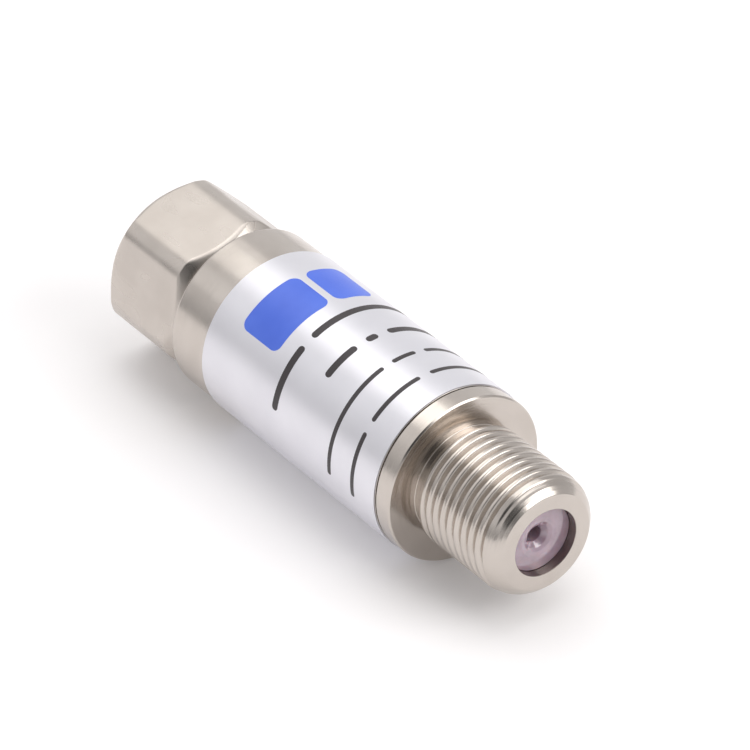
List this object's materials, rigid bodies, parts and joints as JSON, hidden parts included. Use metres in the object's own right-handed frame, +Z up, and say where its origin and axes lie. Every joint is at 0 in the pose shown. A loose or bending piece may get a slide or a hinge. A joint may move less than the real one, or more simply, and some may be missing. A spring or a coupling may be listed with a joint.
{
  "type": "coaxial lightning arrestor",
  "caption": "Round in-line coax surge arrestor with a captive hexagonal coupling nut at one end and a threaded socket port at the other.",
  "frame": {"origin": "on the connector's axis, at half its overall length", "axes": "+X along the axis from the coupling nut towards the threaded port, +Z up as it lies on its side"},
  "size_m": [0.0444, 0.0132, 0.0132],
  "materials": {
    "nickel": "satin nickel plate over turned brass",
    "label_film": "silvery semi-gloss film",
    "white_plastic": "matt, slightly waxy",
    "lilac_plastic": "glossy, slightly clouded",
    "contact_metal": "plain satin",
    "spring_metal": "dull spring bronze",
    "board": "solder mask over glass laminate",
    "ceramic": "unglazed ceramic",
    "cap_metal": "tinned",
    "solder": "bright solder"
  },
  "bodies": {
    "shell": {"barrel": "nickel", "label": "label_film", "male_insulator": "white_plastic", "centre_pin": "contact_metal", "port_body": "nickel", "port_front_insulator": "lilac_plastic", "port_rear_insulator": "white_plastic", "port_contact": "contact_metal", "circuit_board": "board", "gas_tube_ceramic": "ceramic", "gas_tube_caps": "cap_metal", "line_solder": "solder", "tube_solder": "solder"},
    "ring": {"nut_retaining_ring": "spring_metal"},
    "nut": {"coupling_nut": "nickel"}
  },
  "joints": [
    {"name": "nut_float", "type": "slide", "parent": "shell", "child": "ring", "axis": [1, 0, 0], "range_m": [0, 0.0003]},
    {"name": "nut_spin", "type": "hinge", "parent": "ring", "child": "nut", "pos_m": [-0.018, 0, 0], "axis": [1, 0, 0], "continuous": true}
  ]
}
